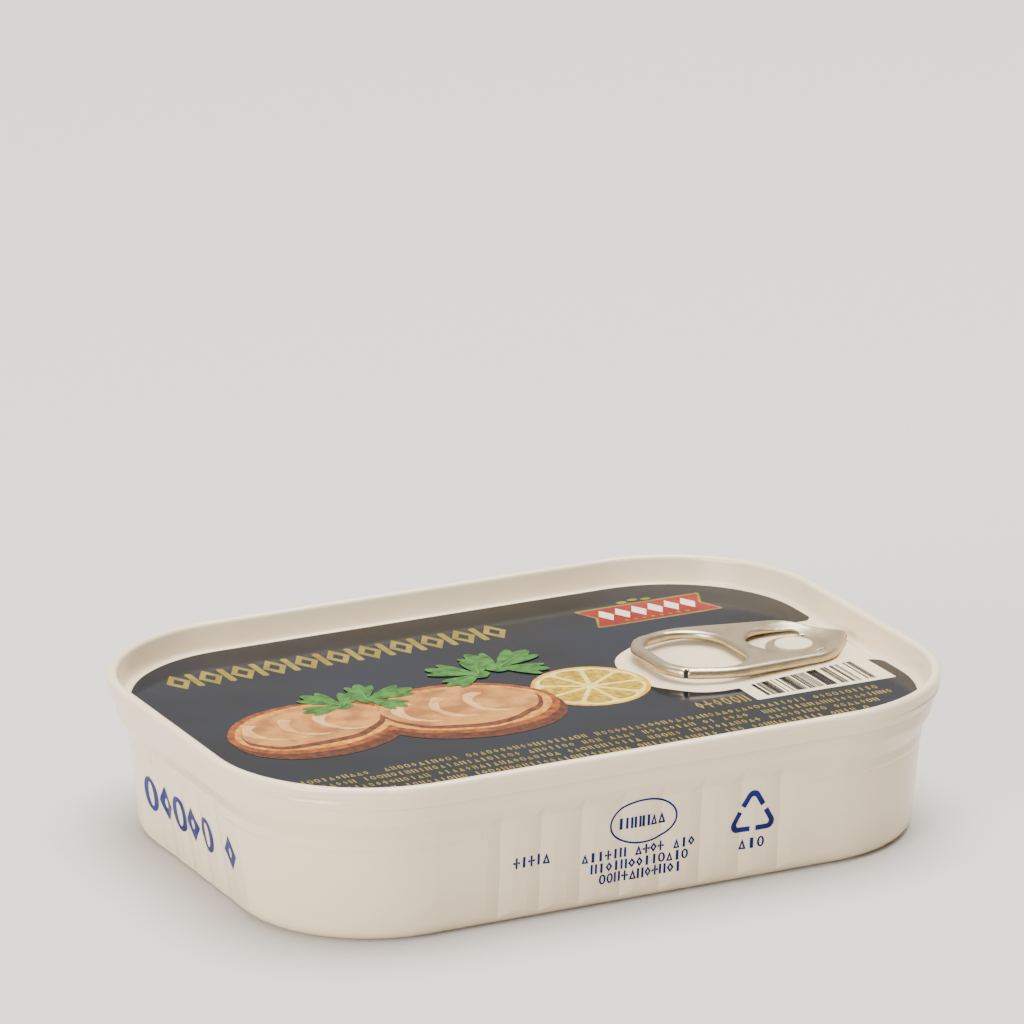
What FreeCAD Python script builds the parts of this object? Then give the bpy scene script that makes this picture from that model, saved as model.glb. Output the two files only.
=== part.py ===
import FreeCAD
import Part

import math
import os

# Shallow rectangular easy-open tin: drawn aluminium cup, seamed lid and ring-pull tab.
# The origin is on the underside at the middle of the footprint, +Z is up and +X points
# along the tin towards the nose of the tab. All sizes are millimetres.

# Overall size, measured over the double seam.
length = 105.6
width = 76.4
height = 22.6
corner_radius = 22.8

# Drawn cup below the seam. Insets are measured inwards from the seam.
neck_inset = 1.05
neck_lower_inset = 1.15
neck_drop = 5.3
shoulder_inset = 2.55
shoulder_drop = 7.9
bead_drop = 9.3
wall_inset = 2.78
wall_drop = 9.7
wall_draft = 0.09
foot_radius = 2.2
base_ring_width = 3.0
base_raise = 0.6
base_groove_inset = 15.0
base_groove_radius = 1.1
base_groove_depth = 0.35

# Shallow rounded flutes of the four walls, parted by sharp valleys that fade out on the
# neck. At the ends the wall is also pressed in as a whole towards the foot.
flute_pitch = 5.9
flute_depth = 0.22
flute_lip = 0.03
flute_neck_depth = 0.12
flute_neck_drop = 5.6
flute_end_drop = 4.6
end_press_depth = 0.9
end_press_flat = 12.0
end_press_half = 19.0
end_press_radius = 30.0

# Double seam, chuck wall and panel of the lid.
seam_height = 3.15
seam_thickness = 1.35
seam_top_radius = 0.66
seam_hem_inset = 0.5
flange_inset = 1.75
chuck_foot_inset = 1.95
panel_drop = 3.7
countersink_depth = 0.25
countersink_width = 0.8
panel_edge_inset = 3.1
lid_thickness = 0.55
corner_pinch_depth = 0.3
corner_pinch_drop = 1.9
corner_pinch_radius = 0.5
corner_pinch_shift = 1.2

# Score line round the opening panel; it bulges where the nose presses.
score_inset = 4.3
score_bulge = 1.05
score_bulge_half = 9.0
score_radius = 0.18

# Rivet that holds the tab, set back from the end of the tin.
rivet_setback = 11.4
rivet_head_radius = 2.65
rivet_head_thickness = 0.35
rivet_stem_radius = 1.7

# Shallow dish in the panel below the ring.
well_radius = 60.0
well_depth = 0.4
well_half_length = 3.0

# Pull tab, seen from above, with its origin at the rivet.
nose_reach = 8.3
nose_flat = 0.45
shoulder_x = 1.6
shoulder_half = 8.2
waist_x = 3.5
waist_half = 6.7
ring_x = -14.6
ring_half = 10.25
heel_x = -20.9
heel_half = 8.0
ring_reach = -23.1
heel_flat = 4.6
hole_front = -9.3
hole_back = -21.1
hole_half = 8.1
hole_radius = 5.6
slot_centre_x = -1.5
slot_radius = 5.3
slot_front = 2.7
island_radius = 3.95
island_thickness = 0.25
curl_radius = 0.8
hole_rim_radius = 0.62
slot_rim_radius = 0.55
rim_drop = 0.08
nose_press = 0.35
web_thickness = 0.5
web_sink = 0.06
tab_tilt = 2.05
tab_clearance = 0.02
slot_return_x = 2.2
slot_return_half = 3.2
deck_x = 4.3
deck_half = 1.7
bowl_x = 1.5
bowl_radius = 16.5
slit_width = 0.45

panel_z = height - panel_drop
seam_z = height - seam_height
centre_x = length / 2 - corner_radius
centre_y = width / 2 - corner_radius
rivet_x = length / 2 - rivet_setback


def vector(x, y, z):
    return FreeCAD.Vector(x, y, z)


def flat(z):
    """Return a placing function for outlines lying level at height z."""
    return lambda x, y: vector(x, y, z)


def upright(x, z):
    """Place a profile point in the XZ plane."""
    return vector(x, 0, z)


def rounded_edges(corners, place, closed=True):
    """Join corners (u, v, radius) with straight lines and tangent arcs."""
    starts, ends, arcs = [], [], []
    count = len(corners)
    for index, (u, v, radius) in enumerate(corners):
        here = vector(u, v, 0)
        if radius == 0 or (not closed and index in (0, count - 1)):
            starts.append(here)
            ends.append(here)
            arcs.append(None)
            continue
        before = vector(*corners[index - 1][:2], 0) - here
        after = vector(*corners[(index + 1) % count][:2], 0) - here
        before.normalize()
        after.normalize()
        half = before.getAngle(after) / 2
        middle = before + after
        middle.normalize()
        reach = radius / math.tan(half)
        starts.append(here + before * reach)
        ends.append(here + after * reach)
        arcs.append(here + middle * (radius / math.sin(half) - radius))
    edges = []
    for index in range(count):
        if arcs[index] is not None:
            points = [place(p.x, p.y) for p in (starts[index], arcs[index], ends[index])]
            edges.append(Part.Arc(*points).toShape())
        if not closed and index == count - 1:
            break
        first = place(ends[index].x, ends[index].y)
        last = place(starts[(index + 1) % count].x, starts[(index + 1) % count].y)
        if first.distanceToPoint(last) > 1e-6:
            edges.append(Part.makeLine(first, last))
    return edges


def plate(corners, bottom, top):
    """Return a level plate with a rounded outline."""
    face = Part.Face(Part.Wire(rounded_edges(corners, flat(bottom))))
    return face.extrude(vector(0, 0, top - bottom))


def fused(shapes):
    """Join shapes into one solid and merge the faces that run on."""
    joined = shapes[0].multiFuse(shapes[1:])
    return joined.removeSplitter()


def around_tin(insets):
    """Carry a profile of (inset, height, radius) round the four sides and corners."""
    corners = [(corner_radius - inset, z, radius) for inset, z, radius in insets]
    face = Part.Face(Part.Wire(rounded_edges(corners, upright)))
    sides = [
        (centre_x, centre_y, 2 * centre_x),
        (-centre_x, centre_y, 2 * centre_y),
        (-centre_x, -centre_y, 2 * centre_x),
        (centre_x, -centre_y, 2 * centre_y),
    ]
    pieces = []
    for turn, (x, y, run) in enumerate(sides):
        angle = 90 * turn
        section = face.copy()
        section.translate(vector(x, y, 0))
        section.rotate(vector(x, y, 0), vector(0, 0, 1), angle)
        pieces.append(section.revolve(vector(x, y, 0), vector(0, 0, 1), 90))
        section.rotate(vector(x, y, 0), vector(0, 0, 1), 90)
        along = vector(-run, 0, 0)
        along = FreeCAD.Rotation(vector(0, 0, 1), angle).multVec(along)
        pieces.append(section.extrude(along))
    heights = [z for inset, z, radius in insets if inset == corner_radius]
    if heights:
        bottom, top = min(heights), max(heights)
        core = Part.makeBox(2 * centre_x, 2 * centre_y, top - bottom)
        core.translate(vector(-centre_x, -centre_y, bottom))
        pieces.append(core)
    return fused(pieces)


def tube(edges, radius):
    """Carry a round section along a path of lines and arcs, with a ball at each kink."""
    pieces = []
    heading = None
    if edges[0].Vertexes[0].Point.distanceToPoint(edges[-1].Vertexes[-1].Point) < 1e-6:
        heading = edges[-1].tangentAt(edges[-1].LastParameter)
    for edge in edges:
        start = edge.valueAt(edge.FirstParameter)
        direction = edge.tangentAt(edge.FirstParameter)
        if heading is None or heading.getAngle(direction) > 0.01:
            pieces.append(Part.makeSphere(radius, start))
        heading = edge.tangentAt(edge.LastParameter)
        if isinstance(edge.Curve, Part.Line):
            pieces.append(Part.makeCylinder(radius, edge.Length, start, direction))
            continue
        disc = Part.Face(Part.Wire(Part.makeCircle(radius, start, direction)))
        turn = math.degrees(edge.LastParameter - edge.FirstParameter)
        pieces.append(disc.revolve(edge.Curve.Center, edge.Curve.Axis, turn))
    return fused(pieces)


def capsule(start, end, radius):
    """Return a round-ended rod between two points."""
    rod = Part.makeCylinder(radius, start.distanceToPoint(end), start, end - start)
    return fused([rod, Part.makeSphere(radius, start), Part.makeSphere(radius, end)])


def rectangle_corners(inset):
    """Return the rounded footprint drawn in by an inset."""
    x = length / 2 - inset
    y = width / 2 - inset
    radius = corner_radius - inset
    return [(x, -y, radius), (x, y, radius), (-x, y, radius), (-x, -y, radius)]


def flute_tools(half_span, half_run, turn, foot_press):
    """Return the cutters for the valleys between the flutes along a wall's straight run."""
    count = 2 * int(half_run / flute_pitch - 0.5)
    foot_inset = wall_inset + wall_draft * (height - wall_drop)
    levels = [
        (-1, foot_inset + wall_draft + foot_press, flute_depth),
        (height - wall_drop, wall_inset, flute_depth),
        (height - shoulder_drop, shoulder_inset, flute_depth),
        (height - flute_neck_drop, neck_lower_inset, flute_neck_depth),
        (height - flute_end_drop, neck_inset, -flute_lip / 2),
    ]
    tools = []
    for index in range(count):
        x = flute_pitch * (index - (count - 1) / 2)
        wires = []
        for z, inset, depth in levels:
            edge_y = half_span - inset + flute_lip
            swell_y = edge_y - (depth + flute_lip) / 4
            valley = vector(x, half_span - inset - depth, z)
            left = vector(x - flute_pitch / 2, edge_y, z)
            right = vector(x + flute_pitch / 2, edge_y, z)
            clear = vector(0, foot_press + 2, 0)
            wires.append(Part.Wire([
                Part.Arc(left, vector(x - flute_pitch / 4, swell_y, z), valley).toShape(),
                Part.Arc(valley, vector(x + flute_pitch / 4, swell_y, z), right).toShape(),
                Part.makeLine(right, right + clear),
                Part.makeLine(right + clear, left + clear),
                Part.makeLine(left + clear, left),
            ]))
        tool = Part.makeLoft(wires, True, True)
        tool.rotate(vector(0, 0, 0), vector(0, 0, 1), turn)
        tools.append(tool)
    return tools


def end_press_tool(turn):
    """Return the cutter that presses an end wall in towards its foot."""
    foot_inset = wall_inset + wall_draft * (height - wall_drop)
    wires = []
    for z, inset, depth in (
        (-1, foot_inset + wall_draft, end_press_depth),
        (height - wall_drop, wall_inset, flute_lip),
    ):
        y = length / 2 - inset
        corners = [
            (end_press_half, y + flute_lip, 0),
            (end_press_flat, y - depth, end_press_radius),
            (-end_press_flat, y - depth, end_press_radius),
            (-end_press_half, y + flute_lip, 0),
            (-end_press_half, y + 3, 0),
            (end_press_half, y + 3, 0),
        ]
        wires.append(Part.Wire(rounded_edges(corners, flat(z))))
    tool = Part.makeLoft(wires, True, True)
    tool.rotate(vector(0, 0, 0), vector(0, 0, 1), turn)
    return tool


def make_body():
    """Build the filled cup with its neck, shoulder, flutes and stepped base."""
    shelf_z = panel_z - lid_thickness
    foot_inset = wall_inset + wall_draft * (height - wall_drop)
    ring_inset = foot_inset + foot_radius
    cup = around_tin([
        (corner_radius, base_raise, 0),
        (ring_inset + base_ring_width + base_raise, base_raise, 0.6),
        (ring_inset + base_ring_width, 0, 0.6),
        (foot_inset, 0, foot_radius),
        (wall_inset, height - wall_drop, 0.4),
        (shoulder_inset + 0.06, height - bead_drop, 0.4),
        (shoulder_inset, height - shoulder_drop, 1.2),
        (neck_lower_inset, height - neck_drop, 1.4),
        (neck_inset, seam_z, 0),
        (flange_inset, seam_z, 0),
        (flange_inset, shelf_z, 0),
        (corner_radius, shelf_z, 0),
    ])
    groove_z = base_raise - base_groove_radius + base_groove_depth
    ring = tube(rounded_edges(rectangle_corners(base_groove_inset), flat(groove_z)), base_groove_radius)
    cup = cup.cut(ring)
    for turn in (0, 180):
        tools = [end_press_tool(turn + 90)]
        tools += flute_tools(length / 2, centre_y, turn + 90, end_press_depth)
        tools += flute_tools(width / 2, centre_x, turn, 0)
        for tool in tools:
            cup = cup.cut(tool)
    return cup


def make_lid():
    """Build the seam, chuck wall, countersunk panel, score line, dish and rivet."""
    groove_z = panel_z - countersink_depth
    lid = around_tin([
        (corner_radius, panel_z - lid_thickness, 0),
        (flange_inset, panel_z - lid_thickness, 0),
        (flange_inset, seam_z, 0),
        (seam_hem_inset, seam_z, 0.18),
        (0.16, height - 2.1, 1.0),
        (0, height - 1.3, 1.0),
        (0, height, seam_top_radius),
        (seam_thickness, height, seam_top_radius),
        (chuck_foot_inset, groove_z, 0.6),
        (chuck_foot_inset + countersink_width, groove_z, 0.25),
        (panel_edge_inset, panel_z, 0.3),
        (corner_radius, panel_z, 0),
    ])
    pinch_z = height - corner_pinch_drop
    pinch_reach = corner_radius - corner_pinch_depth + corner_pinch_shift + corner_pinch_radius
    pinch_centre = corner_pinch_shift / math.sqrt(2)
    for turn, x, y in (
        (0, centre_x - pinch_centre, centre_y - pinch_centre),
        (90, pinch_centre - centre_x, centre_y - pinch_centre),
        (180, pinch_centre - centre_x, pinch_centre - centre_y),
        (270, centre_x - pinch_centre, pinch_centre - centre_y),
    ):
        pinch = Part.makeTorus(
            pinch_reach, corner_pinch_radius, vector(0, 0, 0), vector(0, 0, 1), -180, 180, 90
        )
        pinch.rotate(vector(0, 0, 0), vector(0, 0, 1), turn)
        pinch.translate(vector(x, y, pinch_z))
        lid = lid.cut(pinch)
    x = length / 2 - score_inset
    y = width / 2 - score_inset
    radius = corner_radius - score_inset
    score_corners = [
        (x, -y, radius),
        (x, -score_bulge_half, 40),
        (x + score_bulge, 0, 45),
        (x, score_bulge_half, 40),
        (x, y, radius),
        (-x, y, radius),
        (-x, -y, radius),
    ]
    score_path = rounded_edges(score_corners, flat(panel_z + score_radius / 4))
    lid = lid.cut(tube(score_path, score_radius))
    well_x = rivet_x + (hole_front + hole_back) / 2
    well_z = panel_z + well_radius - well_depth
    well = capsule(
        vector(well_x, -well_half_length, well_z),
        vector(well_x, well_half_length, well_z),
        well_radius,
    )
    lid = lid.cut(well)
    stem = Part.makeCylinder(
        rivet_stem_radius, island_thickness + 0.2, vector(rivet_x, 0, panel_z - 0.2)
    )
    head = Part.makeCylinder(
        rivet_head_radius, rivet_head_thickness, vector(rivet_x, 0, panel_z + island_thickness)
    )
    rim = [edge for edge in head.Edges if edge.BoundBox.ZMin > panel_z + island_thickness + 0.1]
    rim = [edge for edge in rim if isinstance(edge.Curve, Part.Circle)]
    head = head.makeFillet(0.12, rim)
    return fused([lid, stem, head])


def mirrored(upper):
    """Complete an outline that is symmetric about the X axis."""
    return upper + [(x, -y, radius) for x, y, radius in reversed(upper)]


def drawn_in(corners, inset):
    """Move every side of a counter-clockwise outline inwards."""
    count = len(corners)
    moved = []
    for index, (x, y, radius) in enumerate(corners):
        here = vector(x, y, 0)
        arriving = here - vector(*corners[index - 1][:2], 0)
        leaving = vector(*corners[(index + 1) % count][:2], 0) - here
        arriving.normalize()
        leaving.normalize()
        across = vector(-arriving.y - leaving.y, arriving.x + leaving.x, 0)
        across.normalize()
        reach = inset / (across.x * -arriving.y + across.y * arriving.x)
        moved.append((x + across.x * reach, y + across.y * reach, max(radius - inset, 0)))
    return moved


def make_tab():
    """Build the ring-pull tab: curled rims, web, rivet island and sloping tongue."""
    hole_rim_z = curl_radius - hole_rim_radius - rim_drop
    slot_rim_z = curl_radius - slot_rim_radius - rim_drop
    web_top = curl_radius - web_sink
    web_bottom = web_top - web_thickness
    outer = drawn_in(mirrored([
        (nose_reach, nose_flat, curl_radius),
        (waist_x, waist_half, 6.0),
        (shoulder_x, shoulder_half, 5.5),
        (ring_x, ring_half, 12.0),
        (heel_x, heel_half, 3.0),
        (ring_reach, heel_flat, 6.0),
    ]), curl_radius)
    hole = mirrored([
        (hole_front + hole_rim_radius, hole_half + hole_rim_radius, hole_radius + hole_rim_radius),
        (hole_back - hole_rim_radius, hole_half + hole_rim_radius, hole_radius + hole_rim_radius),
    ])
    bow = slot_radius + slot_rim_radius
    block_x = slot_front + slot_rim_radius
    slot = mirrored([
        (slot_return_x, slot_return_half, 0),
        (block_x, slot_return_half, 0.75),
        (block_x, bow - 0.4, 1.1),
        (slot_centre_x + 1.5, bow, 4.0),
        (slot_centre_x - bow, bow, 0.97 * bow),
    ])
    web = plate(outer, web_bottom, web_top)
    web = web.cut(plate(hole, web_bottom - 1, web_top + 1))
    web = web.cut(plate(slot, web_bottom - 1, web_top + 1))
    rims = [
        tube(rounded_edges(outer, flat(0)), curl_radius),
        tube(rounded_edges(hole, flat(hole_rim_z)), hole_rim_radius),
        tube(rounded_edges(slot, flat(slot_rim_z), closed=False), slot_rim_radius),
        Part.makeSphere(slot_rim_radius, vector(slot_return_x, -slot_return_half, slot_rim_z)),
    ]
    raised = fused([web] + rims)
    for side, angle in ((1, 130), (-1, 230)):
        slit = Part.makeBox(2, slit_width, 4, vector(0, -slit_width / 2, -2))
        slit.rotate(vector(0, 0, 0), vector(0, 0, 1), angle)
        slit.translate(vector(heel_x + 0.6 * curl_radius, side * (heel_half - 0.7 * curl_radius), 0))
        raised = raised.cut(slit)
    raised.rotate(vector(nose_reach, 0, 0), vector(0, 1, 0), tab_tilt)
    raised.translate(vector(0, 0, curl_radius - nose_press))
    raised = raised.cut(Part.makeBox(60, 60, 8, vector(-30, -30, tab_clearance - 8)))

    island = Part.makeCylinder(island_radius, island_thickness)
    deck = plate(mirrored([
        (deck_x, deck_half, 0),
        (slot_front, slot_return_half, 0),
        (0, slot_return_half, 0),
    ]), 0, island_thickness)
    nose = plate(outer, tab_clearance, 1.5 * curl_radius)
    nose = nose.cut(Part.makeBox(60, 60, 8, vector(block_x - 60, -30, -2)))
    bowl = Part.makeSphere(bowl_radius, vector(bowl_x, 0, bowl_radius))
    upper = fused([raised, nose]).cut(bowl)
    tab = fused([upper, island, deck])
    tab = tab.cut(Part.makeCylinder(rivet_stem_radius, 4, vector(0, 0, -1)))
    tab.translate(vector(rivet_x, 0, panel_z))
    return tab


os.makedirs("parts", exist_ok=True)
for name, make in (("can_body", make_body), ("lid", make_lid), ("pull_tab", make_tab)):
    solid = make().Solids[0]
    solid.exportStep("parts/" + name + ".step")
    print(name, "faces", len(solid.Faces), "volume", round(solid.Volume, 1), "valid", solid.isValid())
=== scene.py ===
import math
import random
import bmesh
import bpy
from mathutils import Matrix, Vector
from mathutils.bvhtree import BVHTree


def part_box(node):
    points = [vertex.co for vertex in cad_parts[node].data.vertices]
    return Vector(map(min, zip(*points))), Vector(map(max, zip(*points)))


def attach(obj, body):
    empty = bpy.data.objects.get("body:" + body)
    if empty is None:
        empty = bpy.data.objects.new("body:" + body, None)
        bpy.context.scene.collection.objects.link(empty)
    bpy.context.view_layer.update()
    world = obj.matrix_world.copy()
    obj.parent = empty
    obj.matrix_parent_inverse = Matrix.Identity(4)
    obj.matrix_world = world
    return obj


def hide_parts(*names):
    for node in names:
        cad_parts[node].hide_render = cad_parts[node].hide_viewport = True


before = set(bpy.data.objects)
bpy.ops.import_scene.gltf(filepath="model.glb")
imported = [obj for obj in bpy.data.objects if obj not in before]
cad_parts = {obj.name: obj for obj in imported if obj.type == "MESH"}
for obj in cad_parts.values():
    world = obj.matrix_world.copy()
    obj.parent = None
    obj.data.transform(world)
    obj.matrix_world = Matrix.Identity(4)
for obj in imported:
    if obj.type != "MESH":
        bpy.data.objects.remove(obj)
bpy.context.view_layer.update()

mm = 0.001


def hexColour(code):
    # sRGB hex to the linear values that the shader wants
    linear = []
    for i in (0, 2, 4):
        c = int(code[i:i + 2], 16) / 255
        linear.append(c / 12.92 if c <= 0.04045 else ((c + 0.055) / 1.055) ** 2.4)
    return (*linear, 1.0)


def addNode(tree, kind, sockets=None, **settings):
    node = tree.nodes.new(kind)
    for name, value in settings.items():
        setattr(node, name, value)
    for name, value in (sockets or {}).items():
        if isinstance(value, bpy.types.NodeSocket):
            tree.links.new(value, node.inputs[name])
        else:
            node.inputs[name].default_value = value
    return node


def newMaterial(name):
    material = bpy.data.materials.new(name)
    material.use_nodes = True
    tree = material.node_tree
    return material, tree, tree.nodes["Principled BSDF"]


# Epoxy coil coating over drawn aluminium: warm ivory, glossy, faintly uneven, with a few dark specks
canLook = {
    "colour": "ead8b8", "shade": "decba8", "speck": "5b4a38", "roughness": 0.2, "cloudMm": 16.0,
    "peelMm": 1.8, "peelStrength": 0.06, "peelDepthMm": 0.06,
    "speckEveryMm": 9.0, "speckMm": 0.16, "speckShare": 0.45,
}


def makeCanLacquer():
    look = canLook
    material, tree, shader = newMaterial("ivoryCoilCoating")
    where = addNode(tree, "ShaderNodeTexCoord").outputs["Object"]
    cloud = addNode(
        tree, "ShaderNodeTexNoise",
        {"Vector": where, "Scale": 1 / (look["cloudMm"] * mm), "Detail": 3.0},
    )
    tint = addNode(
        tree, "ShaderNodeMix",
        {0: cloud.outputs["Fac"], 6: hexColour(look["shade"]), 7: hexColour(look["colour"])},
        data_type="RGBA",
    )
    # specks: the middles of some cells of a loose cell pattern
    cells = addNode(
        tree, "ShaderNodeTexVoronoi",
        {"Vector": where, "Scale": 1 / (look["speckEveryMm"] * mm)},
    )
    near = addNode(
        tree, "ShaderNodeMapRange",
        {
            "Value": cells.outputs["Distance"],
            "From Min": 0.5 * look["speckMm"] / look["speckEveryMm"],
            "From Max": look["speckMm"] / look["speckEveryMm"], "To Min": 1.0, "To Max": 0.0,
        },
    )
    chance = addNode(tree, "ShaderNodeSeparateColor", {"Color": cells.outputs["Color"]})
    picked = addNode(
        tree, "ShaderNodeMath", {0: chance.outputs[0], 1: look["speckShare"]}, operation="LESS_THAN",
    )
    speck = addNode(
        tree, "ShaderNodeMath", {0: near.outputs["Result"], 1: picked.outputs[0]}, operation="MULTIPLY",
    )
    soiled = addNode(
        tree, "ShaderNodeMix",
        {0: speck.outputs[0], 6: tint.outputs[2], 7: hexColour(look["speck"])}, data_type="RGBA",
    )
    tree.links.new(soiled.outputs[2], shader.inputs["Base Color"])
    peel = addNode(
        tree, "ShaderNodeTexNoise",
        {"Vector": where, "Scale": 1 / (look["peelMm"] * mm), "Detail": 2.0},
    )
    bump = addNode(
        tree, "ShaderNodeBump",
        {
            "Height": peel.outputs["Fac"], "Strength": look["peelStrength"],
            "Distance": look["peelDepthMm"] * mm,
        },
    )
    tree.links.new(bump.outputs["Normal"], shader.inputs["Normal"])
    shader.inputs["Roughness"].default_value = look["roughness"]
    return material


# Blanked, curled and tumbled aluminium strip: satin and warm, with fine rolling grain along the tab
tabLook = {
    "colour": "c0b196", "scuff": "9c8d72", "roughness": (0.26, 0.4), "grainMm": 0.12,
    "grainStretch": 24.0, "grainStrength": 0.05, "grainDepthMm": 0.01,
    "scuffMm": 3.0, "scuffFrom": 0.5, "scuffTo": 0.8,
    "mergeMm": 0.0005, "voxelMm": 0.115, "softness": 0.5, "softenings": 14,
}


def makeTabAluminium():
    look = tabLook
    material, tree, shader = newMaterial("rolledTabAluminium")
    where = addNode(tree, "ShaderNodeTexCoord").outputs["Object"]
    along = addNode(
        tree, "ShaderNodeMapping", {"Vector": where, "Scale": (1 / look["grainStretch"], 1, 1)},
    )
    grain = addNode(
        tree, "ShaderNodeTexNoise",
        {"Vector": along.outputs["Vector"], "Scale": 1 / (look["grainMm"] * mm), "Detail": 3.0},
    )
    smooth, rough = look["roughness"]
    dull = addNode(
        tree, "ShaderNodeMapRange",
        {"Value": grain.outputs["Fac"], "To Min": smooth, "To Max": rough},
    )
    tree.links.new(dull.outputs["Result"], shader.inputs["Roughness"])
    bump = addNode(
        tree, "ShaderNodeBump",
        {
            "Height": grain.outputs["Fac"], "Strength": look["grainStrength"],
            "Distance": look["grainDepthMm"] * mm,
        },
    )
    tree.links.new(bump.outputs["Normal"], shader.inputs["Normal"])
    scuff = addNode(
        tree, "ShaderNodeTexNoise",
        {"Vector": where, "Scale": 1 / (look["scuffMm"] * mm), "Detail": 6.0},
    )
    worn = addNode(
        tree, "ShaderNodeMapRange",
        {"Value": scuff.outputs["Fac"], "From Min": look["scuffFrom"], "From Max": look["scuffTo"]},
    )
    tint = addNode(
        tree, "ShaderNodeMix",
        {0: worn.outputs["Result"], 6: hexColour(look["colour"]), 7: hexColour(look["scuff"])},
        data_type="RGBA",
    )
    tree.links.new(tint.outputs[2], shader.inputs["Base Color"])
    shader.inputs["Metallic"].default_value = 1.0
    return material


def finishPiece(name, mesh, material):
    mesh.name = name
    mesh.materials.clear()
    mesh.materials.append(material)
    piece = bpy.data.objects.new(name, mesh)
    bpy.context.collection.objects.link(piece)
    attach(piece, "root")
    return piece


def paintNode(node, material):
    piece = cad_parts[node]
    piece.data.materials.clear()
    piece.data.materials.append(material)


canLacquer = makeCanLacquer()
tabAluminium = makeTabAluminium()
paintNode("can_body", canLacquer)
paintNode("lid", canLacquer)
print("finishes on the can and the lid")


def makeTab():
    # pressing leaves no sharp edge: the tab's solid is remeshed finely and its edges are relaxed
    look = tabLook
    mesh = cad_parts["pull_tab"].data.copy()
    merged = bmesh.new()
    merged.from_mesh(mesh)
    bmesh.ops.remove_doubles(merged, verts=merged.verts, dist=look["mergeMm"] * mm)
    merged.to_mesh(mesh)
    merged.free()
    holder = bpy.data.objects.new("tab_source", mesh)
    bpy.context.collection.objects.link(holder)
    remesh = holder.modifiers.new("remesh", "REMESH")
    remesh.mode = "VOXEL"
    remesh.voxel_size = look["voxelMm"] * mm
    remesh.use_smooth_shade = True
    soften = holder.modifiers.new("soften", "SMOOTH")
    soften.factor = look["softness"]
    soften.iterations = look["softenings"]
    evaluated = holder.evaluated_get(bpy.context.evaluated_depsgraph_get())
    finished = bpy.data.meshes.new_from_object(evaluated)
    bpy.data.objects.remove(holder)
    tab = finishPiece("ring_pull", finished, tabAluminium)
    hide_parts("pull_tab")


# Blanked slits in the curl of the ring: the dark blocks in them are painted shade for the hollow
# inside. Place and half sizes in mm
slitShadeLook = {
    "x": 20.9, "y": 7.54, "z": 20.36, "half": (0.13, 0.21, 0.52), "heading": 50.0,
    "colour": "0c0b0a", "roughness": 0.8,
}


def makeSlits():
    look = slitShadeLook
    material, _, shader = newMaterial("shadowInHollowCurl")
    shader.inputs["Base Color"].default_value = hexColour(look["colour"])
    shader.inputs["Roughness"].default_value = look["roughness"]
    # one dark block behind each slit: painted shade of the hollow curl
    blocks = bmesh.new()
    size = Matrix.Diagonal([half * mm for half in look["half"]] + [1])
    for side in (-1, 1):
        place = Matrix.Translation(Vector((look["x"], side * look["y"], look["z"])) * mm)
        turn = Matrix.Rotation(math.radians(-side * look["heading"]), 4, "Z")
        bmesh.ops.create_cube(blocks, size=2.0, matrix=place @ turn @ size)
    mesh = bpy.data.meshes.new("tab_slits")
    blocks.to_mesh(mesh)
    blocks.free()
    finishPiece("tab_slits", mesh, material)


makeTab()
makeSlits()

# The print on the lid is flat sheets of ink, each about a hundredth of a millimetre above the last.
# The panel lies panelDrop below the top of the seam, and the rivet tabEndToRivet from the tab's end.
lidLook = {"panelDrop": 3.7, "inkLayer": 0.012, "tabEndToRivet": 23.08}
inkLayer = lidLook["inkLayer"] * mm
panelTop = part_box("lid")[1].z - lidLook["panelDrop"] * mm
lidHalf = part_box("lid")[1].xy / mm
rivetX = (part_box("pull_tab")[0].x + lidLook["tabEndToRivet"] * mm) / mm


def roundedOutline(corners, steps=8):
    # corners are (x, y, radius); each round corner becomes an arc of a few points
    points = []
    for i, (x, y, radius) in enumerate(corners):
        here = Vector((x, y))
        if radius == 0:
            points.append(here)
            continue
        before = (Vector(corners[i - 1][:2]) - here).normalized()
        after = (Vector(corners[(i + 1) % len(corners)][:2]) - here).normalized()
        half = before.angle(after) / 2
        centre = here + (before + after).normalized() * (radius / math.sin(half))
        start = here + before * (radius / math.tan(half)) - centre
        sweep = start.angle_signed(here + after * (radius / math.tan(half)) - centre)
        for k in range(steps + 1):
            points.append(centre + Matrix.Rotation(-sweep * k / steps, 2) @ start)
    return points


def box(x0, y0, x1, y1, radius=0.0):
    corners = [(x0, y0, radius), (x1, y0, radius), (x1, y1, radius), (x0, y1, radius)]
    return roundedOutline(corners, 5)


def lozenge(x, y, halfX, halfY):
    return [(x - halfX, y), (x, y - halfY), (x + halfX, y), (x, y + halfY)]


def blob(x, y, halfX, halfY, wobble=0.0, seed=0, steps=72, angle=0.0):
    # an ellipse whose edge wanders by a few slow waves
    rng = random.Random(seed)
    waves = []
    for k in (2, 3, 5, 7, 11):
        phase = rng.uniform(0, 6.28)
        size = rng.uniform(0.4, 1.0) / k ** 0.5
        waves.append((k, phase, size))
    turn = Matrix.Rotation(math.radians(angle), 2)
    points = []
    for i in range(steps):
        a = 2 * math.pi * i / steps
        r = 1 + wobble * sum(size * math.sin(k * a + phase) for k, phase, size in waves)
        reach = Vector((halfX * r * math.cos(a), halfY * r * math.sin(a)))
        points.append(Vector((x, y)) + turn @ reach)
    return points


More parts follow.
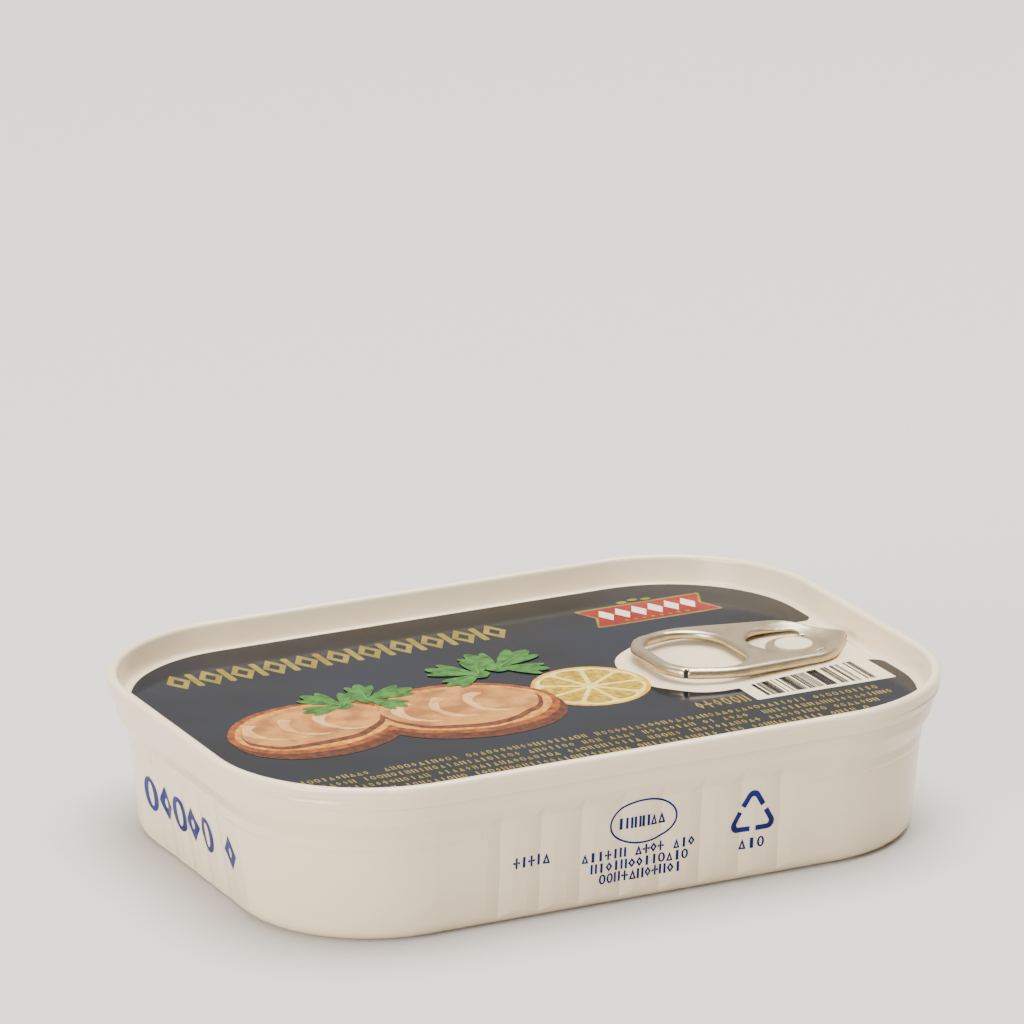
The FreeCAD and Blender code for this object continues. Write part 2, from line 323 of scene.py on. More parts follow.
def flatMesh(name, outlines, lift):
    # Blender's filled curve closes the outlines and cuts their holes; it is drawn in mm, then scaled
    curve = bpy.data.curves.new(name, "CURVE")
    curve.dimensions = "2D"
    curve.fill_mode = "BOTH"
    for outline in outlines:
        spline = curve.splines.new("POLY")
        spline.points.add(len(outline) - 1)
        for point, place in zip(spline.points, outline):
            point.co = (place[0], place[1], 0, 1)
        spline.use_cyclic_u = True
    holder = bpy.data.objects.new(name, curve)
    bpy.context.collection.objects.link(holder)
    mesh = bpy.data.meshes.new_from_object(holder)
    bpy.data.objects.remove(holder)
    mesh.transform(Matrix.Translation((0, 0, lift)) @ Matrix.Scale(mm, 4))
    if mesh.polygons and mesh.polygons[0].normal.z < 0:
        mesh.flip_normals()
    return mesh


def printOnLid(name, outlines, layer, material):
    mesh = flatMesh(name, outlines, panelTop + layer * inkLayer)
    return finishPiece(name, mesh, material)


# Offset ink under a clear overprint varnish: smooth and glossy, softly wavy like the sheet below.
# The varnish is thin and shines less at a low angle than the lacquer round it.
varnishLook = {"waveMm": 14.0, "waveStrength": 0.12, "waveDepthMm": 1.0, "specular": 0.1}


def makeInk(
    name, colour, shade=None, patchMm=3.0, detail=4.0, roughness=0.16, contrast=(0.35, 0.65),
):
    look = varnishLook
    material, tree, shader = newMaterial(name)
    where = addNode(tree, "ShaderNodeTexCoord").outputs["Object"]
    shader.inputs["Base Color"].default_value = hexColour(colour)
    if shade:
        patches = addNode(
            tree, "ShaderNodeTexNoise",
            {"Vector": where, "Scale": 1 / (patchMm * mm), "Detail": detail},
        )
        sharpen = addNode(
            tree, "ShaderNodeMapRange",
            {"Value": patches.outputs["Fac"], "From Min": contrast[0], "From Max": contrast[1]},
        )
        tint = addNode(
            tree, "ShaderNodeMix",
            {0: sharpen.outputs["Result"], 6: hexColour(shade), 7: hexColour(colour)},
            data_type="RGBA",
        )
        tree.links.new(tint.outputs[2], shader.inputs["Base Color"])
    sheet = addNode(
        tree, "ShaderNodeTexNoise",
        {"Vector": where, "Scale": 1 / (look["waveMm"] * mm), "Detail": 1.0},
    )
    bump = addNode(
        tree, "ShaderNodeBump",
        {
            "Height": sheet.outputs["Fac"], "Strength": look["waveStrength"],
            "Distance": look["waveDepthMm"] * mm,
        },
    )
    tree.links.new(bump.outputs["Normal"], shader.inputs["Normal"])
    shader.inputs["Roughness"].default_value = roughness
    shader.inputs["Specular IOR Level"].default_value = look["specular"]
    return material


inks = {
    # name, colour, shade of its patches, their size in mm, their detail, roughness, contrast
    "navy": makeInk("navyOverprint", "0c1017", "0e1724", 22.0, 2.0, 0.12),
    "gold": makeInk("goldInk", "80702c", "6b5c1c", 2.5, 3.0, 0.22),
    "red": makeInk("redInk", "8a0a04", "720602", 6.0, 2.0, 0.16),
    "cream": makeInk("creamInk", "d9cfbd"),
    "black": makeInk("blackInk", "0b0b0e"),
    "crust": makeInk("crustInk", "8f4512", "522407", 1.3, 6.0, 0.18),
    "crustDark": makeInk("crustShadeInk", "54260f", "301206", 1.0, 6.0, 0.18),
    "crumb": makeInk("crumbInk", "c68c38", "96601c", 1.1, 6.0, 0.18),
    "spread": makeInk("spreadInk", "b47c3c", "8a5426", 3.6, 5.0, 0.18, (0.36, 0.6)),
    "spreadLight": makeInk("spreadLightInk", "cfa068", "b88448", 1.8, 6.0, 0.18),
    "spreadDark": makeInk("spreadShadeInk", "6c3114", "40190a", 1.2, 6.0, 0.18),
    "leaf": makeInk("leafInk", "3a7028", "1a4412", 1.6, 4.0, 0.18),
    "leafLight": makeInk("leafVeinInk", "54883a", "386c28", 1.0, 3.0, 0.18),
    "rind": makeInk("lemonRindInk", "d2a20c", "b07c06", 1.5, 3.0, 0.18),
    "pith": makeInk("lemonPithInk", "dccb7c", "ccb352", 1.5, 3.0, 0.18),
    "pulp": makeInk("lemonPulpInk", "b4941a", "8a6a10", 0.8, 6.0, 0.18, (0.4, 0.62)),
    "blue": makeInk("blueInk", "111c66", "0c1450", 2.0, 3.0, 0.3),
}

fieldLook = {
    "inset": 3.2, "corner": 19.6, "steps": 20,
    # the bare square for the bars
    "barcodeLeft": 26.5, "barcodeRight": 47.8, "barcodeFoot": -17.8, "barcodeCorner": 0.3,
    # y and radius where the keyhole round the tab meets the edge, below and above the tab
    "mouthLow": (-9.6, 2.0), "mouthHigh": (9.0, 1.9),
    # x from the rivet, y and radius of the keyhole's other corners
    "keyhole": [(-20.0, -12.3, 7.0), (-25.8, -5.6, 8.0), (-25.8, 6.0, 9.0), (-17.4, 12.1, 12.0)],
}


def makeField():
    look = fieldLook
    x, y = lidHalf.x - look["inset"], lidHalf.y - look["inset"]
    left, right, foot = look["barcodeLeft"], look["barcodeRight"], look["barcodeFoot"]
    mouthLow, mouthHigh = look["mouthLow"], look["mouthHigh"]
    corners = [
        (x, -y, look["corner"]), (x, *mouthLow), (right, mouthLow[0], 0),
        (right, foot, look["barcodeCorner"]), (left, foot, look["barcodeCorner"]),
        (left, look["keyhole"][0][1], 0),
    ]
    corners += [(rivetX + across, up, radius) for across, up, radius in look["keyhole"]]
    corners += [(x, *mouthHigh)]
    corners += [(x, y, look["corner"]), (-x, y, look["corner"]), (-x, -y, look["corner"])]
    printOnLid("print_field", [roundedOutline(corners, look["steps"])], 1, inks["navy"])


def makeShapes(name, shapes):
    # each shape fills a square one unit wide, so that a row can stretch it to its own size
    group = bpy.data.collections.new(name)
    for i, outlines in enumerate(shapes):
        mesh = flatMesh(name + str(i), outlines, 0)
        mesh.transform(Matrix.Scale(1 / mm, 4))
        group.objects.link(bpy.data.objects.new(name + str(i), mesh))
    return group


shapeSets = {
    "bars": makeShapes("bars", [[[(-0.5, -0.5), (0.5, -0.5), (0.5, 0.5), (-0.5, 0.5)]]]),
    # a post, a ring, a wedge, a lozenge, a pair of posts and a plus sign
    "marks": makeShapes("marks", [
        [box(-0.2, -0.5, 0.2, 0.5)],
        [blob(0, 0, 0.5, 0.5, steps=20), blob(0, 0, 0.2, 0.34, steps=20)],
        [[(-0.5, -0.5), (0.5, -0.5), (0, 0.5)], [(-0.16, -0.34), (0.16, -0.34), (0, 0.06)]],
        [lozenge(0, 0, 0.5, 0.5), lozenge(0, 0, 0.16, 0.22)],
        [box(-0.5, -0.5, -0.16, 0.5), box(0.16, -0.5, 0.5, 0.5)],
        [box(-0.14, -0.5, 0.14, 0.5), box(-0.5, -0.1, -0.18, 0.1), box(0.18, -0.1, 0.5, 0.1)],
    ]),
}


def makeRowTree():
    tree = bpy.data.node_groups.new("rowOfMarks", "GeometryNodeTree")
    sockets = {}
    for name, kind, value in (
        ("Count", "NodeSocketInt", 10), ("Pitch", "NodeSocketFloat", 0.001),
        ("Height", "NodeSocketFloat", 0.001), ("Slope", "NodeSocketFloat", 0.0),
        ("Thinnest", "NodeSocketFloat", 0.5), ("Widest", "NodeSocketFloat", 0.9),
        ("Kept", "NodeSocketFloat", 0.85), ("Seed", "NodeSocketInt", 1),
        ("Ink", "NodeSocketMaterial", None), ("Shapes", "NodeSocketCollection", None),
    ):
        socket = tree.interface.new_socket(name, in_out="INPUT", socket_type=kind)
        if value is not None:
            socket.default_value = value
        sockets[name] = socket.identifier
    tree.interface.new_socket("Geometry", in_out="OUTPUT", socket_type="NodeSocketGeometry")
    given = addNode(tree, "NodeGroupInput").outputs

    # a line of points, and one of the shapes for each
    step = addNode(tree, "ShaderNodeCombineXYZ", {"X": given["Pitch"]})
    line = addNode(
        tree, "GeometryNodeMeshLine", {"Count": given["Count"], "Offset": step.outputs["Vector"]},
    )
    shapes = addNode(
        tree, "GeometryNodeCollectionInfo",
        {"Collection": given["Shapes"], "Separate Children": True, "Reset Children": True},
    )
    count = addNode(
        tree, "GeometryNodeAttributeDomainSize", {"Geometry": shapes.outputs[0]},
        component="INSTANCES",
    )
    last = addNode(
        tree, "ShaderNodeMath", {0: count.outputs["Instance Count"], 1: 1.0}, operation="SUBTRACT",
    )
    choice = addNode(
        tree, "FunctionNodeRandomValue", {4: 0, 5: last.outputs[0], "Seed": given["Seed"]},
        data_type="INT",
    )
    width = addNode(
        tree, "FunctionNodeRandomValue",
        {"Min": given["Thinnest"], "Max": given["Widest"], "Seed": given["Seed"]},
        data_type="FLOAT",
    )
    kept = addNode(
        tree, "FunctionNodeRandomValue", {"Probability": given["Kept"], "Seed": given["Seed"]},
        data_type="BOOLEAN",
    )

    # its size: its own width, and a height that may climb along the row
    where = addNode(tree, "GeometryNodeInputPosition").outputs[0]
    position = addNode(tree, "ShaderNodeSeparateXYZ", {"Vector": where})
    climb = addNode(
        tree, "ShaderNodeMath", {0: position.outputs["X"], 1: given["Slope"]}, operation="MULTIPLY",
    )
    tall = addNode(
        tree, "ShaderNodeMath", {0: climb.outputs[0], 1: given["Height"]}, operation="ADD",
    )
    wide = addNode(
        tree, "ShaderNodeMath", {0: width.outputs[1], 1: given["Pitch"]}, operation="MULTIPLY",
    )
    size = addNode(
        tree, "ShaderNodeCombineXYZ", {"X": wide.outputs[0], "Y": tall.outputs[0], "Z": 1.0},
    )
    lift = addNode(tree, "ShaderNodeMath", {0: tall.outputs[0], 1: 0.5}, operation="MULTIPLY")
    up = addNode(tree, "ShaderNodeCombineXYZ", {"Y": lift.outputs[0]})
    stood = addNode(
        tree, "GeometryNodeSetPosition",
        {"Geometry": line.outputs["Mesh"], "Offset": up.outputs["Vector"]},
    )
    spread = addNode(
        tree, "GeometryNodeInstanceOnPoints",
        {
            "Points": stood.outputs["Geometry"], "Selection": kept.outputs[3],
            "Instance": shapes.outputs[0], "Pick Instance": True,
            "Instance Index": choice.outputs[2], "Scale": size.outputs["Vector"],
        },
    )
    real = addNode(tree, "GeometryNodeRealizeInstances", {"Geometry": spread.outputs["Instances"]})
    inked = addNode(
        tree, "GeometryNodeSetMaterial",
        {"Geometry": real.outputs["Geometry"], "Material": given["Ink"]},
    )
    addNode(tree, "NodeGroupOutput", {"Geometry": inked.outputs["Geometry"]})
    return tree, sockets


rowTree, rowSockets = makeRowTree()


def rowOfMarks(values):
    # returns the finished row as a plain mesh that starts at the origin and runs along +X
    holder = bpy.data.objects.new("row", bpy.data.meshes.new("row"))
    bpy.context.collection.objects.link(holder)
    modifier = holder.modifiers.new("row", "NODES")
    modifier.node_group = rowTree
    for name, value in values.items():
        modifier[rowSockets[name]] = value
    evaluated = holder.evaluated_get(bpy.context.evaluated_depsgraph_get())
    mesh = bpy.data.meshes.new_from_object(evaluated)
    bpy.data.objects.remove(holder)
    return mesh


def joinMeshes(name, meshes):
    joined = bpy.data.meshes.new(name)
    vertices, faces = [], []
    for mesh in meshes:
        first = len(vertices)
        vertices += [v.co.copy() for v in mesh.vertices]
        faces += [[first + i for i in face.vertices] for face in mesh.polygons]
    joined.from_pydata(vertices, [], faces)
    return joined


legendLook = {
    # first x, foot y and length of each row, in mm
    "rows": [
        (-44.0, -20.9, 88.5), (-43.0, -23.2, 88.0), (-41.3, -25.5, 83.0), (-39.0, -27.8, 78.0),
        (-35.6, -30.1, 34.0),
    ],
    "height": 1.35, "pitch": 1.0, "thinnest": 0.55, "widest": 0.85, "kept": 0.9, "seed": 11,
}
shortLegendLook = {
    "x": 18.4, "foot": -17.7, "count": 6, "pitch": 1.35, "height": 2.9, "thinnest": 0.6,
    "widest": 0.8, "kept": 1.0, "seed": 5,
}


def makeLegend():
    look = legendLook
    rows = []
    for i, (x, foot, length) in enumerate(look["rows"]):
        row = rowOfMarks({
            "Count": int(length / look["pitch"]), "Pitch": look["pitch"] * mm,
            "Height": look["height"] * mm, "Seed": look["seed"] + i,
            "Thinnest": look["thinnest"], "Widest": look["widest"], "Kept": look["kept"],
            "Ink": inks["gold"], "Shapes": shapeSets["marks"],
        })
        row.transform(Matrix.Translation((x * mm, foot * mm, panelTop + 2 * inkLayer)))
        rows.append(row)
    legend = joinMeshes("print_legend", rows)
    finishPiece("print_legend", legend, inks["gold"])


def makeShortLegend():
    look = shortLegendLook
    row = rowOfMarks({
        "Count": look["count"], "Pitch": look["pitch"] * mm, "Height": look["height"] * mm,
        "Seed": look["seed"], "Thinnest": look["thinnest"], "Widest": look["widest"],
        "Kept": look["kept"], "Ink": inks["gold"], "Shapes": shapeSets["marks"],
    })
    row.transform(
        Matrix.Translation((look["x"] * mm, look["foot"] * mm, panelTop + 2 * inkLayer))
    )
    finishPiece("print_short_legend", row, inks["gold"])


barLook = {
    "x": 28.4, "foot": -16.7, "count": 60, "pitch": 0.285, "height": 5.0, "slope": 0.157,
    "thinnest": 0.4, "widest": 1.02, "kept": 0.8, "seed": 3,
}


def makeBars():
    # the slope makes the bars longer towards the edge of the lid
    look = barLook
    bars = rowOfMarks({
        "Count": look["count"], "Pitch": look["pitch"] * mm, "Height": look["height"] * mm,
        "Slope": look["slope"], "Seed": look["seed"], "Thinnest": look["thinnest"],
        "Widest": look["widest"], "Kept": look["kept"], "Ink": inks["black"],
        "Shapes": shapeSets["bars"],
    })
    bars.transform(
        Matrix.Translation((look["x"] * mm, look["foot"] * mm, panelTop + 2 * inkLayer))
    )
    finishPiece("print_bars", bars, inks["black"])


bandLook = {
    "x": -42.6, "foot": 21.7, "height": 6.4, "length": 52.6, "count": 11,
    # a lozenge's half width is a share of the pitch, and its heart is a share of the lozenge
    "lozenge": 0.37, "heart": 0.46,
    "barHalf": 0.5, "barTrim": 0.4, "barRound": 0.4,
}


def makeTitleBand():
    # lozenges with a hollow heart, parted by slender bars
    look = bandLook
    pitch = look["length"] / look["count"]
    middle = look["foot"] + look["height"] / 2
    foot = look["foot"] + look["barTrim"]
    top = look["foot"] + look["height"] - look["barTrim"]
    outlines = []
    for i in range(look["count"]):
        x = look["x"] + pitch * (i + 0.5)
        for scale in (1.0, look["heart"]):
            wide, tall = look["lozenge"] * pitch * scale, look["height"] / 2 * scale
            outlines.append(lozenge(x, middle, wide, tall))
        if i:
            bar = x - pitch / 2
            outlines.append(
                box(bar - look["barHalf"], foot, bar + look["barHalf"], top, look["barRound"])
            )
    printOnLid("print_title_band", outlines, 2, inks["gold"])


plaqueLook = {
    "x0": 21.1, "x1": 40.9, "y0": 19.6, "y1": 27.6, "rim": 0.45, "notch": 1.6, "corner": 0.3,
    # six lozenges in a row, a little above the middle
    "lozenges": 6, "lozengeFirst": 3.5, "lozengePitch": 2.56, "lozengeHalf": (1.15, 2.3),
    "lozengeRise": 0.5,
    # a string of beads below them
    "beads": 8, "beadFirst": 5.2, "beadUp": 1.35, "beadPitch": 1.35, "beadRadius": 0.32,
    # three larger ones on top of the rim, the middle one higher
    "crestX": 31.0, "crestUp": 0.75, "crestPitch": 1.9, "crestHalf": (0.8, 0.5), "crestArch": 0.4,
}


def plaqueOutline(inset):
    look = plaqueLook
    x0, x1 = look["x0"] + inset, look["x1"] - inset
    y0, y1 = look["y0"] + inset, look["y1"] - inset
    middle, notch, corner = (y0 + y1) / 2, look["notch"], look["corner"]
    return roundedOutline([
        (x0, y0, corner), (x1, y0, corner), (x1 - notch, middle, corner),
        (x1, y1, corner), (x0, y1, corner), (x0 + notch, middle, corner),
    ], 3)


def makePlaque():
    look = plaqueLook
    printOnLid("print_plaque_rim", [plaqueOutline(0)], 2, inks["gold"])
    printOnLid("print_plaque", [plaqueOutline(look["rim"])], 3, inks["red"])
    middle = (look["y0"] + look["y1"]) / 2 + look["lozengeRise"]
    lozenges = []
    for i in range(look["lozenges"]):
        x = look["x0"] + look["lozengeFirst"] + i * look["lozengePitch"]
        lozenges.append(lozenge(x, middle, *look["lozengeHalf"]))
    printOnLid("print_plaque_lozenges", lozenges, 4, inks["cream"])
    beads = []
    for i in range(look["beads"]):
        x = look["x0"] + look["beadFirst"] + i * look["beadPitch"]
        y = look["y0"] + look["beadUp"]
        beads.append(blob(x, y, look["beadRadius"], look["beadRadius"], steps=12))
    for side in (-1, 0, 1):
        x = look["crestX"] + side * look["crestPitch"]
        y = look["y1"] + look["crestUp"] + look["crestArch"] * (side == 0)
        beads.append(blob(x, y, *look["crestHalf"], steps=20))
    printOnLid("print_plaque_beads", beads, 4, inks["gold"])


leafLook = {
    # x, y, length and heading of each leaf
    "places": [
        (-24.5, 5.5, 7.2, 118.0), (-20.5, 6.5, 7.6, 12.0), (-2.4, 9.0, 7.8, 138.0),
        (1.0, 10.4, 8.6, 36.0),
    ],
    # heading of each fan of a leaf, its reach and its vein's reach, as shares of the length
    "fans": ((-66, 0.84, 0.66), (0, 1.0, 0.82), (66, 0.84, 0.66)), "fanHalf": 32, "heart": 0.2,
    "toothFoot": 0.78, "toothDepth": 0.22, "veinHalf": 0.13, "veinStart": 0.25,
    "firstLayer": 11, "layerStep": 0.5, "veinLift": 0.25,
}


def leafRadius(angle):
    # reach of a parsley leaf: three fans, each ending in three blunt teeth
    look = leafLook
    reach = look["heart"]
    for middle, length, _ in look["fans"]:
        off = abs(angle - middle) / look["fanHalf"]
        if off < 1:
            teeth = look["toothFoot"] + look["toothDepth"] * abs(math.cos(1.5 * math.pi * off))
            reach = max(reach, length * (1 - off ** 5) * teeth)
    return reach


def leafOutline(x, y, length, heading):
    outline = []
    for angle in range(-150, 151, 2):
        turn = math.radians(angle + heading)
        reach = length * leafRadius(angle)
        outline.append((x + reach * math.cos(turn), y + reach * math.sin(turn)))
    return outline


def leafVeins(x, y, length, heading):
    look = leafLook
    veins = []
    for middle, _, share in look["fans"]:
        turn = math.radians(middle + heading)
        ahead = Vector((math.cos(turn), math.sin(turn)))
        aside = Vector((-ahead.y, ahead.x)) * look["veinHalf"]
        foot = Vector((x, y)) + ahead * look["veinStart"]
        veins.append([foot - aside, foot + ahead * length * share, foot + aside])
    return veins


def makeLeaves():
    look = leafLook
    for i, place in enumerate(look["places"]):
        layer = look["firstLayer"] + i * look["layerStep"]
        printOnLid("print_leaf_" + str(i), [leafOutline(*place)], layer, inks["leaf"])
        printOnLid(
            "print_veins_" + str(i), leafVeins(*place), layer + look["veinLift"],
            inks["leafLight"],
        )


toastLook = {
    # x, y, half length, half width and turn of each slice
    "places": [(-31.5, -0.5, 12.6, 9.6, 12.0), (-10.5, -2.6, 13.4, 10.2, -10.0)],
    # name, ink, shift in y, what the half length and half width lose, wobble and seed: from below up
    "layers": [
        ("toast_side", "crustDark", -2.3, 0, 0, 0.012, 3),
        ("toast_crust", "crust", 0, 0, 0, 0.012, 3),
        ("toast_crumb", "crumb", 0.2, 1.1, 1.1, 0.02, 7),
        ("spread_shade", "spreadDark", 0.1, 2.0, 2.2, 0.05, 21),
        ("spread", "spread", 0.9, 2.3, 2.7, 0.05, 21),
    ],
    "firstLayer": 4, "sliceStep": 0.2,
    # knife strokes: shift in x and y, half sizes and seed of a stroke's outer and inner edge
    "strokes": 3, "strokePitch": 5.2, "strokeTurn": 25, "strokeWobble": 0.06, "strokeStep": 0.1,
    "strokeEdges": ((0, 1.0, 4.0, 4.6, 30), (0.9, 0.5, 3.5, 4.1, 33)),
}


def crescent(outer, inner):
    # the lit edge of a knife stroke: half of one outline closed by half of the other
    half = len(outer) // 2
    return outer[half // 2:half // 2 + half] + inner[half // 2:half // 2 + half][::-1]


def makeToasts():
    look = toastLook
    for i, (x, y, halfX, halfY, turn) in enumerate(look["places"]):
        base = look["firstLayer"] + i * look["sliceStep"]
        tag = "_" + str(i)
        for level, (name, ink, up, lessX, lessY, wobble, seed) in enumerate(look["layers"]):
            outline = blob(x, y + up, halfX - lessX, halfY - lessY, wobble, seed + i, angle=turn)
            printOnLid("print_" + name + tag, [outline], base + level, inks[ink])
        top = base + len(look["layers"])
        for k in range(look["strokes"]):
            shift = (k - 1) * look["strokePitch"]
            edges = [
                blob(
                    x + shift + across, y + up, edgeX, edgeY, look["strokeWobble"], seed + k, 40,
                    turn + look["strokeTurn"],
                )
                for across, up, edgeX, edgeY, seed in look["strokeEdges"]
            ]
            printOnLid(
                "print_swirl" + tag + "_" + str(k), [crescent(*edges)],
                top + k * look["strokeStep"], inks["spreadLight"],
            )


lemonLook = {
    "places": [(9.0, -2.2, 8.2, 15.0)],  # x, y, radius and turn of each slice
    "wobble": 0.006, "segments": 9, "segmentHalf": 17.5,
    # shares of the radius: the pith, both ends of a segment and its round corners
    "pith": 0.93, "near": 0.12, "far": 0.84, "bulge": 1.06, "sideRound": 0.1, "topRound": 0.3,
    "layers": (2.2, 2.5, 2.8),
}


def lemonSegment(x, y, radius, middle):
    look = lemonLook
    near, far, half = radius * look["near"], radius * look["far"], math.radians(look["segmentHalf"])
    sideRound, topRound = radius * look["sideRound"], radius * look["topRound"]
    tip = far * look["bulge"]
    return roundedOutline([
        (x + near * math.cos(middle), y + near * math.sin(middle), 0),
        (x + far * math.cos(middle - half), y + far * math.sin(middle - half), sideRound),
        (x + tip * math.cos(middle), y + tip * math.sin(middle), topRound),
        (x + far * math.cos(middle + half), y + far * math.sin(middle + half), sideRound),
    ], 4)


def makeLemons():
    look = lemonLook
    rindLayer, pithLayer, pulpLayer = look["layers"]
    for i, (x, y, radius, turn) in enumerate(look["places"]):
        tag = "_" + str(i)
        rind = blob(x, y, radius, radius, look["wobble"], i)
        pith = blob(x, y, radius * look["pith"], radius * look["pith"], look["wobble"], i)
        pulp = []
        for k in range(look["segments"]):
            middle = math.radians(turn + k * 360 / look["segments"])
            pulp.append(lemonSegment(x, y, radius, middle))
        printOnLid("print_lemon_rind" + tag, [rind], rindLayer + i, inks["rind"])
        printOnLid("print_lemon_pith" + tag, [pith], pithLayer + i, inks["pith"])
        printOnLid("print_lemon_pulp" + tag, pulp, pulpLayer + i, inks["pulp"])


makeField()
makeLegend()
makeShortLegend()
makeBars()
makeTitleBand()
makePlaque()
makeLemons()
makeToasts()
makeLeaves()
print("print on the lid")

# The print on the walls is drawn flat, then laid on the fluted wall point by point. In mm: its gap
# to the wall, the longest edge of a shape before it is bent, and where the rays start.
wallLook = {"gap": 0.03, "finest": 0.9, "standOff": 200.0}
canTree = BVHTree.FromObject(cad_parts["can_body"], bpy.context.evaluated_depsgraph_get())


def layOnWall(mesh, side):
    # (x, y) of a drawing goes to (x, z) of the long wall that faces -Y or (-y, z) of the end to -X
    look = wallLook
    shape = bmesh.new()
    shape.from_mesh(mesh)
    for _ in range(6):
        long = [edge for edge in shape.edges if edge.calc_length() > look["finest"] * mm]
        if not long:
            break
        bmesh.ops.subdivide_edges(shape, edges=long, cuts=1)
    bmesh.ops.triangulate(shape, faces=shape.faces)
    away = -look["standOff"] * mm
    for vertex in shape.verts:
        u, v = vertex.co.x, vertex.co.y
        if side == "front":
            start, aim = Vector((u, away, v)), Vector((0, 1, 0))
        else:
            start, aim = Vector((away, -u, v)), Vector((1, 0, 0))
        hit = canTree.ray_cast(start, aim)[0]
        vertex.co = hit - aim * (look["gap"] * mm)
    shape.to_mesh(mesh)
    shape.free()
    return mesh


def printOnWall(name, mesh, side):
    finishPiece(name, layOnWall(mesh, side), inks["blue"])


frontLook = {
    # first x, foot height, length, mark height, pitch and seed of each row of marks
    "rows": [
        (-18.3, 7.8, 5.6, 1.55, 1.1, 41), (-8.2, 6.75, 16.9, 1.4, 1.12, 42),
        (-6.9, 5.05, 14.2, 1.4, 1.12, 43), (-5.6, 3.35, 12.2, 1.45, 1.12, 44),
        (-3.0, 10.75, 7.4, 1.6, 1.2, 45), (15.2, 4.8, 3.9, 1.55, 1.35, 46),
    ],
    "thinnest": 0.8, "widest": 0.97, "kept": 0.93,
    # middle, half length, half height and stroke of the oval line
    "oval": (0.25, 11.55, 5.0, 3.2, 0.28),
    # middle, reach of a corner, stroke, gap and the radii of a bend's outer and inner corner
    "triangle": (16.6, 9.6, 4.6, 0.74, 0.42, 1.0, 0.4),
}


def makeWallRows():
    look = frontLook
    for i, (x, foot, length, height, pitch, seed) in enumerate(look["rows"]):
        row = rowOfMarks({
            "Count": round(length / pitch), "Pitch": pitch * mm, "Height": height * mm,
            "Seed": seed, "Thinnest": look["thinnest"], "Widest": look["widest"],
            "Kept": look["kept"], "Ink": inks["blue"], "Shapes": shapeSets["marks"],
        })
        row.transform(Matrix.Translation((x * mm, foot * mm, 0)))
        printOnWall("print_wall_row_" + str(i), row, "front")


def makeWallOval():
    x, y, halfX, halfY, stroke = frontLook["oval"]
    outlines = [blob(x, y, halfX, halfY), blob(x, y, halfX - stroke, halfY - stroke)]
    printOnWall("print_wall_oval", flatMesh("print_wall_oval", outlines, 0), "front")


def makeWallTriangle():
    # three bent strokes, each round one corner and ending short of the next
    x, y, reach, stroke, gap, outerRound, innerRound = frontLook["triangle"]
    halfSide, rise = reach * math.sqrt(3) / 2, reach / 2
    tip = Vector((0, reach))
    inner = Vector((0, reach - 2 * stroke))
    legs = [Vector((halfSide * end, reach - (reach + rise) * 0.5)) for end in (0.5, -0.5)]
    legs = [leg + (tip - leg).normalized() * gap for leg in legs]
    hearts = []
    for leg in legs:
        inwards = Vector((-math.copysign(stroke, leg.x) * math.sqrt(3) / 2, -stroke / 2))
        hearts.append(leg + inwards)
    bend = roundedOutline([
        (*legs[0], 0), (*tip, outerRound), (*legs[1], 0),
        (*hearts[1], 0), (*inner, innerRound), (*hearts[0], 0),
    ], 6)
    bends = []
    for k in range(3):
        turn = Matrix.Rotation(math.radians(120 * k), 2)
        bends.append([Vector((x, y)) + turn @ Vector(point[:2]) for point in bend])
    printOnWall("print_wall_triangle", flatMesh("print_wall_triangle", bends, 0), "front")


endLook = {
    "x": -15.6, "foot": 5.5, "height": 5.0, "pitch": 4.6, "places": (0, 1, 2, 3, 4, 5.7),
    # half width as a share of the pitch, a ring's stroke across and up, a lozenge's open heart
    "half": 0.45, "stroke": (1.35, 0.75), "heart": (0.45, 0.7),
}


def makeEndPrint():
    # rings and lozenges in turn, with a gap before the last
    look = endLook
    middle = look["foot"] + look["height"] / 2
    wide, tall = look["pitch"] * look["half"], look["height"] / 2
    across, up = look["stroke"]
    outlines = []
    for i, place in enumerate(look["places"]):
        x = look["x"] + look["pitch"] * (place + look["half"])
        if i % 2 == 0:
            outlines += [blob(x, middle, wide, tall), blob(x, middle, wide - across, tall - up)]
        else:
            outlines.append(lozenge(x, middle, wide, tall))
            outlines.append(blob(x, middle, *look["heart"], steps=20))
    printOnWall("print_end_band", flatMesh("print_end_band", outlines, 0), "end")


makeWallRows()
makeWallOval()
makeWallTriangle()
makeEndPrint()
print("print on the walls")

# Matt studio paper under the tin, a bright wall behind it and a dim room in front of it
stageLook = {
    "floor": "c6c3bf", "floorRoughness": 0.9, "floorSize": 6.0, "skyFront": 0.22, "skyBack": 1.1,
    "sky": "fff4e6",
}


def makeFloor():
    look = stageLook
    half = look["floorSize"] / 2
    corners = [(-half, -half, 0), (half, -half, 0), (half, half, 0), (-half, half, 0)]
    mesh = bpy.data.meshes.new("floor")
    mesh.from_pydata(corners, [], [(0, 1, 2, 3)])
    floor = bpy.data.objects.new("floor", mesh)
    bpy.context.collection.objects.link(floor)
    material, _, shader = newMaterial("paleStudioPaper")
    shader.inputs["Base Color"].default_value = hexColour(look["floor"])
    shader.inputs["Roughness"].default_value = look["floorRoughness"]
    mesh.materials.append(material)


lightLook = {
    # where each soft box stands and its size, in metres, and its watts
    "keyBox": ((-1.75, -0.8, 0.55), 0.9, 56.0),
    "topBox": ((0.25, 0.1, 1.85), 1.5, 104.0),
}


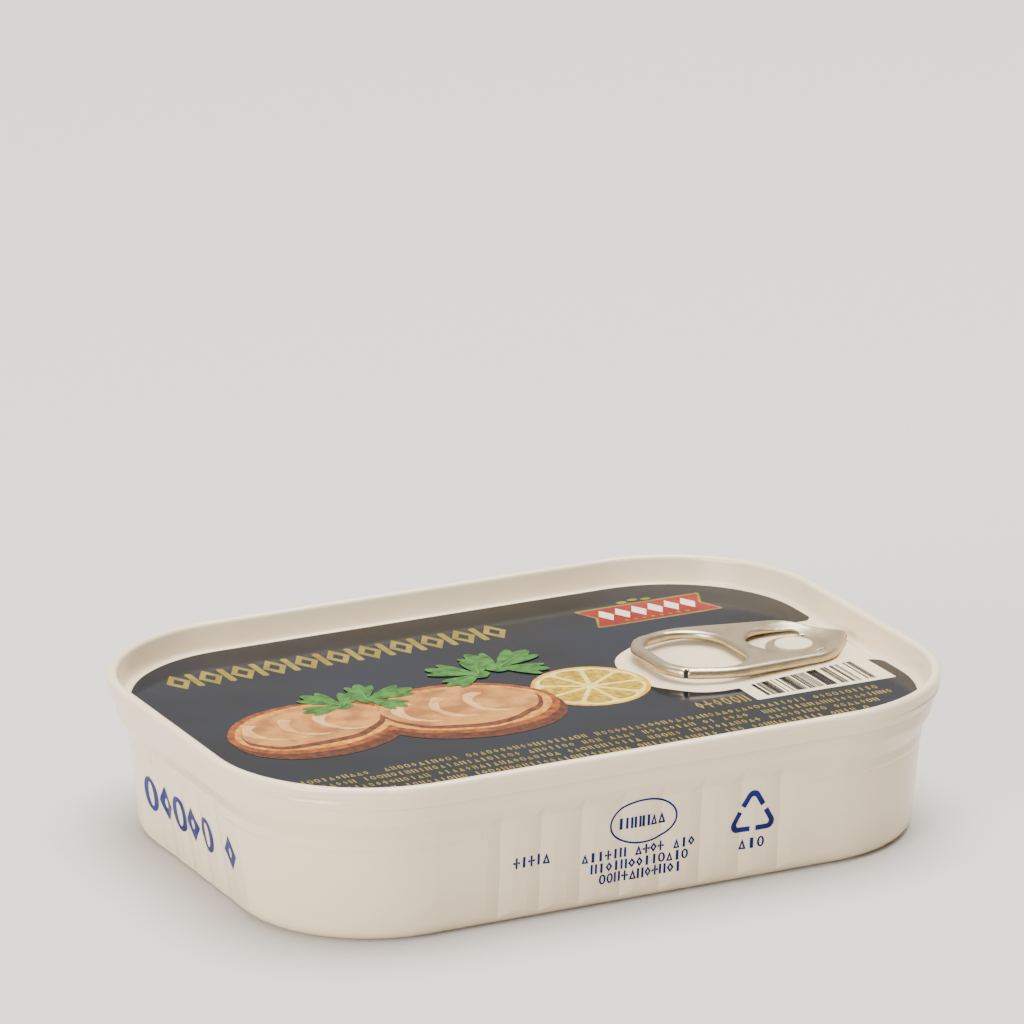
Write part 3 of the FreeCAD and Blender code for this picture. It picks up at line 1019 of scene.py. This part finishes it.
def makeLights():
    for name, (place, size, watts) in lightLook.items():
        light = bpy.data.lights.new(name, "AREA")
        light.shape = "SQUARE"
        light.size = size
        light.energy = watts
        lamp = bpy.data.objects.new(name, light)
        lamp.location = place
        lamp.rotation_euler = (-Vector(place)).to_track_quat("-Z", "Y").to_euler()
        bpy.context.collection.objects.link(lamp)


def makeSky():
    look = stageLook
    world = bpy.data.worlds.new("studio")
    bpy.context.scene.world = world
    world.use_nodes = True
    tree = world.node_tree
    sky = tree.nodes["Background"]
    sky.inputs["Color"].default_value = hexColour(look["sky"])
    where = addNode(tree, "ShaderNodeTexCoord").outputs["Generated"]
    ways = addNode(tree, "ShaderNodeSeparateXYZ", {"Vector": where})
    glow = addNode(
        tree, "ShaderNodeMapRange",
        {
            "Value": ways.outputs["Y"], "From Min": -1.0, "From Max": 1.0,
            "To Min": look["skyFront"], "To Max": look["skyBack"],
        },
    )
    tree.links.new(glow.outputs["Result"], sky.inputs["Strength"])


# Angles in degrees, distance in metres, aim and lens in mm
cameraLook = {
    "azimuth": -25.81, "elevation": 17.38, "roll": -0.52, "distance": 0.9804,
    "aim": (4.3, 12.1, 40.4), "lens": 252.7, "sensor": 36.0, "clipStart": 0.01,
}


def makeCamera():
    look = cameraLook
    azimuth, elevation = math.radians(look["azimuth"]), math.radians(look["elevation"])
    back = Vector((
        math.sin(azimuth) * math.cos(elevation),
        -math.cos(azimuth) * math.cos(elevation),
        math.sin(elevation),
    ))
    camera = bpy.data.objects.new("camera", bpy.data.cameras.new("camera"))
    level = back.to_track_quat("Z", "Y").to_matrix()
    roll = Matrix.Rotation(math.radians(look["roll"]), 3, "Z")
    camera.rotation_euler = (level @ roll).to_euler()
    camera.location = Vector(look["aim"]) * mm + back * look["distance"]
    camera.data.lens = look["lens"]
    camera.data.sensor_width = look["sensor"]
    camera.data.clip_start = look["clipStart"]
    bpy.context.collection.objects.link(camera)
    bpy.context.scene.camera = camera


makeFloor()
makeLights()
makeSky()
makeCamera()
print("stage, lights and camera")
